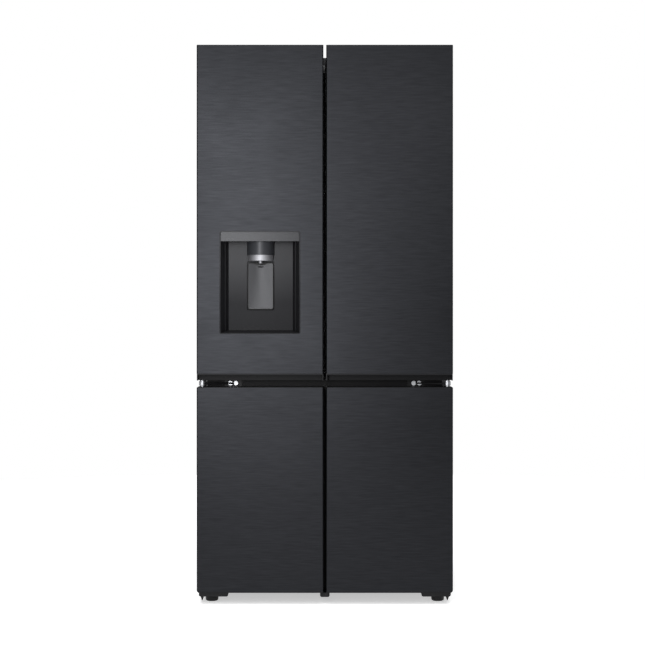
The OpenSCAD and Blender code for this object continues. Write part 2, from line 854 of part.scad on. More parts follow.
// A door's foam between its skin and its liner, with room for the bushes
module door_foam(z) {
  difference() {
    door_slab(skin_t, liner_y0, z);
    for (end = z) rod_z(-hinge_x, hinge_y, [end - bush_h, end + bush_h], bush_r + 0.1);
  }
}

// A door's moulded inner face, with a shallow pan and the ribs round it that carry the bins
module door_liner(z, face_z, rib_z, rib_u, reach_y) {
  x = rib_u - [hinge_x, hinge_x];
  difference() {
    union() {
      block(door_x + [skin_t, -skin_t], [liner_y0, skin_back_y], z);
      block(door_x, [skin_back_y, door_back_y], face_z);
      front_panel(x, [door_back_y, reach_y], rib_z, 8);
    }
    block(x + [rib_w, -rib_w], [pan_y, reach_y + eps], rib_z + [rib_w + 4, -rib_w - 4]);
  }
}

// Keeps the foam and the liner inside the side walls of an upper door's bottom cap
module tray_sides() {
  reach = tray_wall + 0.5;
  for (x = [[door_x[0] - eps, door_x[0] + reach], [door_x[1] - reach, door_x[1] + eps]])
    block(x, [front_y, skin_back_y], [0, upper_skin_z0]);
}

module upper_foam(right) {
  color("khaki") difference() {
    door_foam([upper_z0 + plate_h, step_z - 10]);
    block([-width, 0], [front_y - eps, pocket_y + cap_wall], [0, upper_skin_z0 + pocket_h]);
    tray_sides();
    if (!right) dispenser_hollow(0);
  }
}

module upper_liner(right) {
  rib_u = [42, right ? 372 : 340];
  color("whitesmoke") {
    difference() {
      door_liner([upper_z0 + plate_h, step_z - 10], [upper_z0, step_z],
        [part_z1 + 7, fridge_z1 - 7], rib_u, rib_top);
      tray_sides();
    }
    if (!right) for (z = [mullion_z[0] - 8, mullion_z[1] + 1.5]) difference() {
      block([rib_u[1] - hinge_x - 12, bar_pivot[0] + 7 - hinge_x],
        [hinge_y + 54, hinge_y + 68], [z, z + 6.5]);
      rod_z(bar_pivot[0] - hinge_x, hinge_y + bar_pivot[1], [z - eps, z + 8], pivot_r + run_gap);
    }
  }
}

module lower_foam() {
  color("khaki") difference() {
    door_foam([lower_z0 + 12, lower_z1 - plate_h]);
    block([-width, 0], [front_y - eps, pocket_y + cap_wall], [lower_z1 - lower_pocket_h, height]);
  }
}

module lower_liner() {
  color("whitesmoke") difference() {
    door_liner([lower_z0 + 12, lower_z1 - plate_h], [lower_z0, lower_z1],
      [freezer_z0 + 7, part_z0 - 7], [50, 366], freezer_rib_top);
    corner_cut(10);
  }
}

// Magnetic gasket round the inner face; the right one has a lip that covers the door gap
module gasket(z, lip) {
  x = [gasket_in - hinge_x, -gasket_in];
  y = [door_back_y, cab_y0 - 0.5];
  color("black") {
    front_ring(x, y, z, gasket_w);
    if (lip) block([-gasket_in, -1.5], [y[1] - 4, y[1]], z);
  }
}

module upper_gasket(right) {
  gasket([part_z1 - 26, cab_z1 - 10], right);
}

module lower_gasket() {
  gasket([freezer_z0 - 19, part_z0 + 21], false);
}

module door_bins(rib_u, zs) {
  x = rib_u + [rib_w, -rib_w] - [hinge_x, hinge_x];
  color("aliceblue", 0.6) for (z = zs)
    difference() {
      tub(x, [pan_y + 0.5, hinge_y + bin_reach], [z, z + 105], bin_wall);
      front_panel(x + [22, -22], [hinge_y + bin_reach - 5, hinge_y + bin_reach + eps], [z + 80, z + 130], 10);
    }
}

module ice_maker_case() {
  x = [42 + rib_w - hinge_x, 340 - rib_w - hinge_x];
  z = [1262, 1704];
  y = [pan_y + 0.5, hinge_y + bin_reach - 2];
  color("whitesmoke") difference() {
    front_panel(x, y, z, 8);
    block(x + [4, -4], [y[0] + 4, y[1] - 18], z + [4, -4]);
    front_panel([x[0] + 90, x[1] - 90], [y[1] - 10, y[1] + eps], [z[0] + 24, z[0] + 46], 8);
    difference() {
      block(x - [eps, -eps], [y[1] - 13, y[1] - 11], z - [eps, -eps]);
      block(x + [2, -2], [y[1] - 14, y[1] - 10], z + [2, -2]);
    }
  }
}

// ---------- dispenser ----------

module dispenser_recess() {
  color("black") difference() {
    dispenser_hollow(0);
    dispenser_hollow(disp_wall);
    block([-width, 0], [front_y - 5, front_y], [0, height]);
    rod_x(pivot_x(0.15), pivot_y, pivot_z, pivot_r + run_gap);
  }
}

function pivot_x(extra) = [
  -disp_x - paddle_w / 2 - paddle_gap - 1.8 - extra,
  -disp_x + paddle_w / 2 + paddle_gap + 1.8 + extra
];

module dispenser_bar() {
  x = [disp_left + disp_wall + 1, disp_right - disp_wall - 1];
  x_back = x + [9, -9];
  color("gray") intersection() {
    side_profile(x, [
      [front_y + 1.5, bar_z0 + bar_h - 0.3], [front_y + 0.5, bar_z0], [front_y + 22, bar_z0],
      [front_y + 22, bar_z0 + bar_h - 0.3]
    ]);
    translate([0, 0, bar_z0 - eps]) linear_extrude(bar_h + 2) polygon([
      [x[0], front_y], [x[1], front_y], [x_back[1], front_y + 23], [x_back[0], front_y + 23]
    ]);
    front_panel(x, [front_y, front_y + 23], [bar_z0 - 10, bar_z0 + bar_h - 0.3], 4.5);
  }
}

module nozzle() {
  c = [-disp_x, hinge_y];
  cut_y = disp_back_y;
  color([0.2, 0.2, 0.21]) difference() {
    union() {
      rod_z(c[0], c[1], [nozzle_z0, bar_z0], nozzle_r);
      block([c[0] - nozzle_r, c[0] + nozzle_r], [c[1], cut_y], [nozzle_z0, bar_z0]);
      rod_z(c[0], c[1], [nozzle_z0 - ring_h + 1, nozzle_z0], ring_r - ring_t);
      rod_z(c[0], c[1] - 18, [nozzle_z0 - ring_h - 11, nozzle_z0 - ring_h + 2], 5.5);
    }
    block([-width, 0], [cut_y, 0], [0, height]);
    rod_z(c[0], c[1] - 18, [nozzle_z0 - ring_h - 12, nozzle_z0 - ring_h + 1], 3);
  }
}

module nozzle_ring() {
  color("silver") difference() {
    rod_z(-disp_x, hinge_y, [nozzle_z0 - ring_h, nozzle_z0], ring_r);
    rod_z(-disp_x, hinge_y, [nozzle_z0 - ring_h - eps, nozzle_z0 + eps], ring_r - ring_t);
    block([-width, 0], [disp_back_y, 0], [0, height]);
  }
}

// Pressed at its foot, the paddle swings back about a rod near its top
module paddle() {
  x = [-disp_x - paddle_w / 2, -disp_x + paddle_w / 2];
  hollow_r = 300;
  hollow_d = 2.6;
  color("gray") {
    difference() {
      front_panel(x, [paddle_y, paddle_y + paddle_t], [paddle_z1 - paddle_h, paddle_z1], 6);
      rod_z(-disp_x, paddle_y - hollow_r + hollow_d, [paddle_z1 - paddle_h + 4, height], hollow_r);
      front_panel([-disp_x - 19.5, -disp_x + 19.5], [paddle_y - eps, paddle_y + paddle_t + eps],
        [paddle_z1 - 4, paddle_z1 + 8], 2);
    }
    block([-disp_x - 30, -disp_x + 30], [paddle_y + paddle_t - 0.5, pivot_y], [pivot_z - 4, pivot_z + 2]);
    rod_x(pivot_x(0), pivot_y, pivot_z, pivot_r);
  }
}

// The bar that covers the gap between the upper doors, folding on the left door's edge
module mullion_bar() {
  u = bar_u - [hinge_x, hinge_x];
  y = bar_v + [hinge_y, hinge_y];
  px = bar_pivot[0] - hinge_x;
  py = bar_pivot[1] + hinge_y;
  color("gray") {
    translate([0, 0, mullion_z[0]]) linear_extrude(mullion_z[1] - mullion_z[0]) polygon([
      [u[0], y[0]], [u[1], y[0]], [u[1], y[0] + 8], [u[1] - 7, y[1]], [u[0], y[1]]
    ]);
    rod_z(px, py, [mullion_z[0] - 7, mullion_z[1] + 7], pivot_r);
  }
}

// ---------- the pieces ----------

cabinet_wrapper();
back_panel();
cabinet_foam();
fridge_liner();
freezer_liner();
front_rails();
base_frame();
door_hinges();
hinge_covers();
door_brackets();
mullion_guide();
compressor();
condenser();
machine_cover();
water_valve();
cord_gland();
evaporator();
duct_covers();
shelf_frames();
shelf_glass();
drawer_rails();
condenser_fan();
evaporator_fan();
foot(-foot_x);  // left_foot
foot(foot_x);  // right_foot
roller(-roller_x);  // left_roller
roller(roller_x);  // right_roller
drawer_pair();  // left_drawer_pair
side(true) drawer_pair();  // right_drawer_pair
crisper();  // left_crisper
side(true) crisper();  // right_crisper
upper_skin(true);  // upper_left_skin
upper_foam(false);  // upper_left_foam
upper_liner(false);  // upper_left_liner
upper_caps();  // upper_left_caps
upper_gasket(false);  // upper_left_gasket
door_bins([42, 340], [800, 1030]);  // upper_left_bins
ice_maker_case();
dispenser_recess();
dispenser_bar();
nozzle();
nozzle_ring();
paddle();
mullion_bar();
side(true) upper_skin(false);  // upper_right_skin
side(true) upper_foam(true);  // upper_right_foam
side(true) upper_liner(true);  // upper_right_liner
side(true) upper_caps();  // upper_right_caps
side(true) upper_gasket(true);  // upper_right_gasket
side(true) door_bins([42, 372], [800, 1030, 1260, 1490]);  // upper_right_bins
lower_skin();  // lower_left_skin
lower_foam();  // lower_left_foam
lower_liner();  // lower_left_liner
lower_caps();  // lower_left_caps
lower_gasket();  // lower_left_gasket
side(true) lower_skin();  // lower_right_skin
side(true) lower_foam();  // lower_right_foam
side(true) lower_liner();  // lower_right_liner
side(true) lower_caps();  // lower_right_caps
side(true) lower_gasket();  // lower_right_gasket
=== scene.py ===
"""French door refrigerator: materials, fittings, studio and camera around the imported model."""

import json
import math

import bmesh
import bpy
from mathutils import Matrix, Vector


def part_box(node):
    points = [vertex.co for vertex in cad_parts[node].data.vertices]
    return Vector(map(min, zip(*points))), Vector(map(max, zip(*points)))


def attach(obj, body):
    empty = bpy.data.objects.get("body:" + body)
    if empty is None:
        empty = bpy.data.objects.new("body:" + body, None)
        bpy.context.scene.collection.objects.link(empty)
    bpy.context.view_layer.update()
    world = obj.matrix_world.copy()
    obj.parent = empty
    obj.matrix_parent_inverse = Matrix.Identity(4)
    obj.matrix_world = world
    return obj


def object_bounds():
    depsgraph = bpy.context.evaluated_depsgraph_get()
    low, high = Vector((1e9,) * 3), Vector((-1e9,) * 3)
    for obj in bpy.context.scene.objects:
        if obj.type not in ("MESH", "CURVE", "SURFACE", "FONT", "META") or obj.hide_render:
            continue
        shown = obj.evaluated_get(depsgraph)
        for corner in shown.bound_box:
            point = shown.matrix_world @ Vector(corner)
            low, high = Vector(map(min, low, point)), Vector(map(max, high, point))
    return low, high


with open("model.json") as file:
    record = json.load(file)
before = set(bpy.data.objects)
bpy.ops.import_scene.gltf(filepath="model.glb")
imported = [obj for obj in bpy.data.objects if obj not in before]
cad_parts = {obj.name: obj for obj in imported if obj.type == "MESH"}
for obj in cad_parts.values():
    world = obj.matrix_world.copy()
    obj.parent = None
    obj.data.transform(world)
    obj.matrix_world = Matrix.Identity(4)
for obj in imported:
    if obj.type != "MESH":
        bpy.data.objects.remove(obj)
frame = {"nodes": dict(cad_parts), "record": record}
CAD_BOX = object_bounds()
NODES = frame["nodes"]
SLOT_OF = {part["node"]: part["material_slot"] for part in frame["record"]["subparts"]}
MM = 0.001


# ---------- shader helpers ----------

def new_material(name, base, metallic=0.0, roughness=0.5, **sockets):
    """A Principled material with every constant set on the shader itself."""
    material = bpy.data.materials.new(name)
    material.use_nodes = True
    shader = material.node_tree.nodes["Principled BSDF"]
    shader.inputs["Base Color"].default_value = (*base, 1.0)
    shader.inputs["Metallic"].default_value = metallic
    shader.inputs["Roughness"].default_value = roughness
    for socket, value in sockets.items():
        shader.inputs[socket.replace("_", " ")].default_value = value
    return material


def add_node(material, kind, **inputs):
    """A new shader node with some of its inputs set; _ stands for a space in their names."""
    node = material.node_tree.nodes.new(kind)
    for socket, value in inputs.items():
        node.inputs[socket.replace("_", " ")].default_value = value
    return node


def noise(material, scale, stretch=(1, 1, 1), detail=3.0):
    """Noise in the model's own metres: scale is in features a metre, stretch divides it by axis."""
    link = material.node_tree.links.new
    place = add_node(material, "ShaderNodeTexCoord")
    mapping = add_node(material, "ShaderNodeMapping")
    mapping.inputs["Scale"].default_value = tuple(1 / s for s in stretch)
    texture = add_node(material, "ShaderNodeTexNoise", Scale=scale, Detail=detail, Roughness=0.55)
    link(place.outputs["Object"], mapping.inputs["Vector"])
    link(mapping.outputs["Vector"], texture.inputs["Vector"])
    return texture.outputs["Fac"]


def remap(material, value, low, high):
    """Stretches the middle of a 0 to 1 value to run from low to high."""
    link = material.node_tree.links.new
    node = add_node(material, "ShaderNodeMapRange")
    node.inputs["From Min"].default_value = 0.3
    node.inputs["From Max"].default_value = 0.7
    node.inputs["To Min"].default_value = low
    node.inputs["To Max"].default_value = high
    link(value, node.inputs["Value"])
    return node.outputs["Result"]


def blend_colors(material, value, dark, light):
    """A colour between dark and light, chosen by the middle of a 0 to 1 value."""
    link = material.node_tree.links.new
    ramp = add_node(material, "ShaderNodeValToRGB")
    ramp.color_ramp.elements[0].position = 0.3
    ramp.color_ramp.elements[0].color = (*dark, 1)
    ramp.color_ramp.elements[1].position = 0.7
    ramp.color_ramp.elements[1].color = (*light, 1)
    link(value, ramp.inputs["Fac"])
    return ramp.outputs["Color"]


def math_node(material, operation, *values):
    """A Math node whose inputs are sockets or plain numbers."""
    node = add_node(material, "ShaderNodeMath")
    node.operation = operation
    for socket, value in zip(node.inputs, values):
        if isinstance(value, bpy.types.NodeSocket):
            material.node_tree.links.new(value, socket)
        else:
            socket.default_value = value
    return node.outputs["Value"]


def connect(material, socket, output):
    """Links an output to one of the shader's sockets."""
    shader = material.node_tree.nodes["Principled BSDF"]
    material.node_tree.links.new(output, shader.inputs[socket])


def share_of_box(material, axis):
    """How far a point lies along one axis of its own mesh's box, from 0 to 1."""
    place = add_node(material, "ShaderNodeTexCoord")
    split = add_node(material, "ShaderNodeSeparateXYZ")
    material.node_tree.links.new(place.outputs["Generated"], split.inputs["Vector"])
    return split.outputs[axis]


def bump(material, value, strength, distance):
    """Surface relief from a value."""
    link = material.node_tree.links.new
    node = add_node(material, "ShaderNodeBump", Strength=strength, Distance=distance)
    link(value, node.inputs["Height"])
    connect(material, "Normal", node.outputs["Normal"])


def tint(base, factor):
    """A colour made lighter or darker."""
    return tuple(min(1.0, c * factor) for c in base)


# ---------- materials ----------

COOL = (0.95, 0.96, 1.0, 1.0)
DARK_EDGE = (0.02, 0.02, 0.021, 1)
LINER_WHITE = (0.5, 0.51, 0.52)
RECESS_BLACK = (0.010, 0.010, 0.011)


def brushed_metal(name, base, roughness, grain=(60, 60, 0.35), depth=0.05, spread=0.10):
    """Fine parallel grain, with faint broad tone changes from the rolling."""
    material = new_material(name, base, 1.0, roughness)
    lines = noise(material, 260, stretch=grain, detail=4)
    connect(material, "Base Color",
            blend_colors(material, lines, tint(base, 1 - spread), tint(base, 1 + spread)))
    connect(material, "Roughness",
            remap(material, noise(material, 3), roughness - 0.03, roughness + 0.03))
    bump(material, lines, depth, 0.0004)
    return material


def moulded_plastic(name, base, roughness, texture=900, depth=0.12, **sockets):
    """Plastic with the fine spark-eroded texture of its mould and a slightly uneven sheen."""
    material = new_material(name, base, 0.0, roughness, **sockets)
    grain = noise(material, texture, detail=2)
    connect(material, "Base Color",
            blend_colors(material, noise(material, 14), tint(base, 0.95), tint(base, 1.05)))
    connect(material, "Roughness", remap(material, grain, roughness - 0.06, roughness + 0.06))
    bump(material, grain, depth, 0.0003)
    return material


def recess_plastic_with_painted_sheen(name, base, roughness, painted_sheen_bottom, painted_sheen_top):
    """The dispenser's plastic with a painted sheen: its specular level rises towards the top of
    each mesh, so the back wall's upper part is painted brighter, as where more light falls.
    """
    material = moulded_plastic(name, base, roughness, Specular_Tint=COOL)
    height = share_of_box(material, "Z")
    # Painted sheen: the specular level rises towards the top, a painted brightening of the upper
    # part.
    connect(material, "Specular IOR Level", remap(material, height, painted_sheen_bottom, painted_sheen_top))
    return material


def door_liner_plastic(name, base, roughness, bottom):
    """A door's white liner, dark outside the gasket: bottom is the dark share of its height."""
    side = 0.054
    top = 0.014
    middle = 0.5
    material = moulded_plastic(name, base, roughness, texture=500, depth=0.05)
    link = material.node_tree.links.new
    across = math_node(material, "SUBTRACT", share_of_box(material, "X"), middle)
    off_middle = math_node(material, "ABSOLUTE", across)
    up = share_of_box(material, "Z")
    edge = math_node(material, "GREATER_THAN", off_middle, middle - side)
    for operation, limit in (("LESS_THAN", bottom), ("GREATER_THAN", 1 - top)):
        edge = math_node(material, "MAXIMUM", edge, math_node(material, operation, up, limit))
    shader = material.node_tree.nodes["Principled BSDF"]
    mix = add_node(material, "ShaderNodeMix")
    mix.data_type = "RGBA"
    link(edge, mix.inputs["Factor"])
    link(shader.inputs["Base Color"].links[0].from_socket, mix.inputs["A"])
    mix.inputs["B"].default_value = DARK_EDGE
    connect(material, "Base Color", mix.outputs["Result"])
    return material


def painted_sheet(name, base, roughness, depth=0.10, **sockets):
    """Baked paint on sheet steel: fine orange peel."""
    material = new_material(name, base, 0.0, roughness, **sockets)
    peel = noise(material, 420, detail=2)
    connect(material, "Base Color",
            blend_colors(material, noise(material, 6), tint(base, 0.94), tint(base, 1.06)))
    connect(material, "Roughness", remap(material, peel, roughness - 0.05, roughness + 0.05))
    bump(material, peel, depth, 0.0004)
    return material


def galvanised_sheet(name, base, roughness):
    """Zinc-coated sheet with its spangle."""
    material = new_material(name, base, 0.9, roughness)
    link = material.node_tree.links.new
    place = add_node(material, "ShaderNodeTexCoord")
    spangle = add_node(material, "ShaderNodeTexVoronoi", Scale=110.0)
    link(place.outputs["Object"], spangle.inputs["Vector"])
    connect(material, "Base Color",
            blend_colors(material, spangle.outputs["Color"], tint(base, 0.95), tint(base, 1.04)))
    connect(material, "Roughness",
            remap(material, spangle.outputs["Color"], roughness - 0.03, roughness + 0.03))
    bump(material, noise(material, 300), 0.06, 0.0003)
    return material


def clear_plastic(name, base):
    """Clear moulding with a little haze."""
    material = new_material(name, base, 0.0, 0.12, Transmission_Weight=0.94, IOR=1.45)
    haze = noise(material, 40)
    connect(material, "Roughness", remap(material, haze, 0.08, 0.2))
    bump(material, noise(material, 160), 0.03, 0.0003)
    return material


def shelf_pane(name, base):
    """Polished glass with faint smears."""
    material = new_material(name, base, 0.0, 0.03, Transmission_Weight=0.95, IOR=1.5)
    connect(material, "Roughness", remap(material, noise(material, 25), 0.01, 0.06))
    return material


def foam_fill(name, base):
    """Cut face of rigid foam."""
    material = new_material(name, base, 0.0, 0.9)
    cells = noise(material, 500, detail=5)
    connect(material, "Base Color", blend_colors(material, cells, tint(base, 0.8), tint(base, 1.1)))
    bump(material, cells, 0.6, 0.001)
    return material


def rubber(name, base):
    """Soft rubber with a dull bloom."""
    material = new_material(name, base, 0.0, 0.7)
    bloom = noise(material, 120)
    connect(material, "Base Color", blend_colors(material, bloom, tint(base, 0.8), tint(base, 1.3)))
    connect(material, "Roughness", remap(material, bloom, 0.6, 0.8))
    bump(material, noise(material, 900), 0.15, 0.0003)
    return material


MATERIALS = {
    "door_steel": brushed_metal("door_steel", (0.0168, 0.0174, 0.0195), 0.42, grain=(14, 14, 0.7),
                                spread=0.17),
    "cabinet_paint": painted_sheet("cabinet_paint", (0.055, 0.056, 0.06), 0.45),
    "rail_paint": painted_sheet("rail_paint", RECESS_BLACK, 0.45, Specular_IOR_Level=0.08),
    "galvanised": galvanised_sheet("galvanised", (0.5, 0.52, 0.54), 0.45),
    "zinc": brushed_metal("zinc", (0.5, 0.51, 0.53), 0.45, grain=(8, 1, 1), depth=0.04,
                          spread=0.08),
    "black_steel": painted_sheet("black_steel", (0.005, 0.005, 0.006), 0.45,
                                 Specular_IOR_Level=0.2),
    "cap_plastic": moulded_plastic("cap_plastic", RECESS_BLACK, 0.42, Specular_IOR_Level=0.06),
    # Painted sheen on the dispenser's plastic: stronger specular reflection towards the top of each
    # mesh.
    "dispenser_plastic": recess_plastic_with_painted_sheen("dispenser_plastic", RECESS_BLACK, 0.34, painted_sheen_bottom=0.04,
                                        painted_sheen_top=0.12),
    "nozzle_plastic": moulded_plastic("nozzle_plastic", (0.022, 0.023, 0.026), 0.4,
                                      Specular_IOR_Level=0.3, Specular_Tint=COOL),
    "grey_plastic": moulded_plastic("grey_plastic", (0.008, 0.0082, 0.0093), 0.31,
                                    Specular_IOR_Level=0.21, Specular_Tint=COOL),
    "nozzle_chrome": brushed_metal("nozzle_chrome", (0.33, 0.33, 0.35), 0.6, grain=(1, 1, 20),
                                   depth=0.01, spread=0.03),
    "gasket_rubber": rubber("gasket_rubber", (0.022, 0.022, 0.024)),
    # Near-black rubber for the painted shade round the paddle and the painted shadow at its top.
    "painted_shade_rubber": rubber("painted_shade_rubber", (0.004, 0.004, 0.004)),
    "foot_plastic": moulded_plastic("foot_plastic", (0.007, 0.007, 0.008), 0.5,
                                    Specular_IOR_Level=0.25),
    "liner_plastic": moulded_plastic("liner_plastic", LINER_WHITE, 0.3, texture=500, depth=0.05),
    "upper_door_liner": door_liner_plastic("upper_door_liner", LINER_WHITE, 0.3, bottom=0.014),
    "lower_door_liner": door_liner_plastic("lower_door_liner", LINER_WHITE, 0.3, bottom=0.06),
    "foam": foam_fill("foam", (0.8, 0.7, 0.42)),
    "clear_plastic": clear_plastic("clear_plastic", (0.95, 0.97, 0.98)),
    "shelf_glass": shelf_pane("shelf_glass", (0.85, 0.95, 0.92)),
    "white_plastic": moulded_plastic("white_plastic", (0.45, 0.46, 0.47), 0.35),
    "compressor_paint": painted_sheet("compressor_paint", (0.01, 0.01, 0.01), 0.25, depth=0.2),
    "coil_aluminium": brushed_metal("coil_aluminium", (0.7, 0.71, 0.72), 0.35, grain=(1, 1, 12)),
    "bright_trim": brushed_metal("bright_trim", (0.6, 0.6, 0.62), 0.25),
    "dark_mark": moulded_plastic("dark_mark", (0.003, 0.003, 0.003), 0.5, Specular_IOR_Level=0.05),
    "lamp_cover": moulded_plastic("lamp_cover", (0.86, 0.86, 0.84), 0.25, texture=300,
                                  Transmission_Weight=0.3),
}

EDGE_ROUNDING = 0.5 * MM
EDGE_ANGLE = 40
SHARP_ANGLE = 35
SAME_POINT = 1e-6
OWN_MATERIAL = {
    "nozzle": "nozzle_plastic",
    "base_frame": "rail_paint",
    "mullion_guide": "cap_plastic",
    "upper_left_liner": "upper_door_liner",
    "upper_right_liner": "upper_door_liner",
    "lower_left_liner": "lower_door_liner",
    "lower_right_liner": "lower_door_liner",
}


def dress_nodes():
    """Gives every CAD node its material, smooth shading and a fine rounding along its edges."""
    for name, node in NODES.items():
        mesh = node.data
        mesh.materials.clear()
        mesh.materials.append(MATERIALS[OWN_MATERIAL.get(name, SLOT_OF[name])])
        if "custom_normal" in mesh.attributes:
            mesh.attributes.remove(mesh.attributes["custom_normal"])
        mesh.shade_smooth()
        weld = node.modifiers.new("weld", "WELD")
        weld.merge_threshold = SAME_POINT
        edge = node.modifiers.new("edge", "BEVEL")
        edge.width = EDGE_ROUNDING
        edge.segments = 2
        edge.limit_method = "ANGLE"
        edge.angle_limit = math.radians(EDGE_ANGLE)
        node.modifiers.new("shading", "WEIGHTED_NORMAL").keep_sharp = True


# ---------- mesh helpers ----------

def finish_piece(name, mesh_data, body, slot, material=None):
    """Turns a bmesh into a smooth-shaded piece that rides on a body, with the material of its slot
    unless another material is given.
    """
    bmesh.ops.recalc_face_normals(mesh_data, faces=mesh_data.faces)
    mesh = bpy.data.meshes.new(name)
    mesh_data.to_mesh(mesh)
    mesh_data.free()
    mesh.shade_smooth()
    mesh.set_sharp_from_angle(angle=math.radians(SHARP_ANGLE))
    piece = bpy.data.objects.new(name, mesh)
    bpy.context.scene.collection.objects.link(piece)
    mesh.materials.append(MATERIALS[material or slot])
    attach(piece, body)
    return piece


def axis_frame(centre, axis):
    """A matrix that carries +Z to the axis and the origin to the centre."""
    return Matrix.Translation(centre) @ Vector(axis).to_track_quat("Z", "Y").to_matrix().to_4x4()


def loft(mesh_data, loops, closed=False):
    """Joins equal loops of points; open lofts get a cap at each end."""
    rings = [[mesh_data.verts.new(point) for point in loop] for loop in loops]
    count = len(rings[0])
    pairs = list(zip(rings, rings[1:]))
    if closed:
        pairs.append((rings[-1], rings[0]))
    for low, high in pairs:
        for i in range(count):
            j = (i + 1) % count
            mesh_data.faces.new((low[i], low[j], high[j], high[i]))
    if not closed:
        mesh_data.faces.new(rings[0][::-1])
        mesh_data.faces.new(rings[-1])


def circle_at(angle):
    """Radius of a unit circle in a direction."""
    return 1.0


def hexagon_at(angle):
    """Radius of a unit hexagon in a direction."""
    return math.cos(math.pi / 6) / math.cos(angle % (math.pi / 3) - math.pi / 6)


def cross_at(angle):
    """Radius of a screwdriver's cross, arms of length 1, in a direction."""
    from_arm = (angle + math.pi / 4) % (math.pi / 2) - math.pi / 4
    return min(1 / math.cos(from_arm), 0.22 / max(abs(math.sin(from_arm)), 1e-6))


def lathe(mesh_data, centre, axis, profile, count=24, scale=(1, 1)):
    """Loops along an axis; a step of the profile is (radius, height) and perhaps an outline."""
    place = axis_frame(centre, axis)
    loops = []
    for radius, height, *outline in profile:
        shape = outline[0] if outline else circle_at
        loops.append([place @ Vector((radius * shape(angle) * math.cos(angle) * scale[0],
                                      radius * shape(angle) * math.sin(angle) * scale[1], height))
                      for angle in (2 * math.pi * i / count for i in range(count))])
    loft(mesh_data, loops)


def screw_head(mesh_data, centre, axis, radius, height):
    """A pan head with a cross recess, standing on centre."""
    recess = 0.6 * radius
    lathe(mesh_data, centre, axis, [
        (radius, 0), (radius, 0.35 * height), (0.93 * radius, 0.7 * height),
        (0.75 * radius, height),
        (recess, height, cross_at), (0.8 * recess, 0.35 * height, cross_at)])


def bolt_head(mesh_data, centre, axis, radius, height):
    """A cap head with a hexagon socket, on a washer."""
    lathe(mesh_data, centre, axis, [
        (1.35 * radius, 0), (1.35 * radius, 0.16 * height), (radius, 0.16 * height),
        (radius, 0.85 * height), (0.9 * radius, height), (0.58 * radius, height, hexagon_at),
        (0.55 * radius, 0.4 * height, hexagon_at)])


def rounded_box(mesh_data, low, high, radius, segments=3):
    """A box with all its edges rounded."""
    made = bmesh.ops.create_cube(mesh_data, size=1.0)
    size = Vector(high) - Vector(low)
    middle = (Vector(high) + Vector(low)) / 2
    for vertex in made["verts"]:
        vertex.co = Vector(a * b for a, b in zip(vertex.co, size)) + middle
    edges = list({edge for vertex in made["verts"] for edge in vertex.link_edges})
    bmesh.ops.bevel(mesh_data, geom=edges, offset=radius, segments=segments, profile=0.5,
                    affect="EDGES")


def tube(mesh_data, points, radius, count=10, closed=False):
    """A round tube along points."""
    points = [Vector(p) for p in points]
    last = len(points) - 1
    loops = []
    normal = None
    for i, point in enumerate(points):
        before = points[i - 1] if closed or i else point
        after = points[(i + 1) % len(points)] if closed or i < last else point
        along = (after - before).normalized()
        if normal is None:
            normal = along.orthogonal()
        normal = (normal - along * normal.dot(along)).normalized()
        side = along.cross(normal)
        loops.append([point + radius * (math.cos(a) * normal + math.sin(a) * side)
                      for a in (2 * math.pi * k / count for k in range(count))])
    loft(mesh_data, loops, closed)


def rounded_route(corners, radius, steps=6, closed=False):
    """Points along a polyline whose corners are rounded."""
    corners = [Vector(c) for c in corners]
    route = []
    count = len(corners)
    for i, corner in enumerate(corners):
        if not closed and i in (0, count - 1):
            route.append(corner)
            continue
        start = corner + (corners[i - 1] - corner).normalized() * radius
        end = corner + (corners[(i + 1) % count] - corner).normalized() * radius
        for k in range(steps + 1):
            t = k / steps
            route.append((1 - t) ** 2 * start + 2 * t * (1 - t) * corner + t * t * end)
    return route


def rectangle_loop(x, z, y):
    """The corners of an upright rectangle at depth y, in order."""
    return [(x[0], y, z[0]), (x[1], y, z[0]), (x[1], y, z[1]), (x[0], y, z[1])]


# ---------- small fittings that the CAD leaves out ----------

SIDES = (("left", -1), ("right", 1))
FRONT = CAD_BOX[0].y
CEILING = 1735 * MM
SHELF_HEIGHTS = (945 * MM, 1150 * MM, 1345 * MM, 1540 * MM)
CONE_TIP_TO_PLATE = 23 * MM
PADDLE_WIDTH = 81 * MM


def gasket_folds():
    """Two bellows folds round each magnetic door gasket."""
    radius = 1.1 * MM
    for level in ("upper", "lower"):
        for side, _ in SIDES:
            low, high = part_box(f"{level}_{side}_gasket")
            folds = bmesh.new()
            for share in (0.3, 0.68):
                y = low.y + share * (high.y - low.y)
                x = (low.x - radius / 2, high.x + radius / 2)
                z = (low.z - radius / 2, high.z + radius / 2)
                route = rounded_route(rectangle_loop(x, z, y), 6 * MM, closed=True)
                tube(folds, route, radius, 8, closed=True)
            finish_piece(f"{level}_{side}_gasket_folds", folds, f"{level}_{side}_door",
                         "gasket_rubber")


def spout_tip():
    """The bright sleeve round the end of the water spout."""
    low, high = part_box("nozzle")
    ring_low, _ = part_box("nozzle_ring")
    from_ring_front = 23 * MM
    centre = Vector(((low.x + high.x) / 2, ring_low.y + from_ring_front, 0))
    outer = 6.4 * MM
    inner = 3.2 * MM
    sleeve = bmesh.new()
    bottom = ring_low.z - 8 * MM
    top = ring_low.z - 0.2 * MM
    chamfer = 0.8 * MM
    lathe(sleeve, centre, (0, 0, 1), [
        (inner, top), (outer, top), (outer, bottom + chamfer), (outer - chamfer, bottom),
        (inner, bottom)])
    finish_piece("spout_tip", sleeve, "upper_left_door", "nozzle_chrome")


def dispenser_seal():
    """The thin dark seal between the door's skin and the dispenser's recess."""
    low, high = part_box("dispenser_recess")
    depth = 0.9 * MM
    corner = 5 * MM
    seal = bmesh.new()
    route = rounded_route(rectangle_loop((low.x, high.x), (low.z, high.z), FRONT + depth),
                          corner, closed=True)
    tube(seal, route, 0.8 * MM, 8, closed=True)
    finish_piece("dispenser_seal", seal, "upper_left_door", "dispenser_plastic")


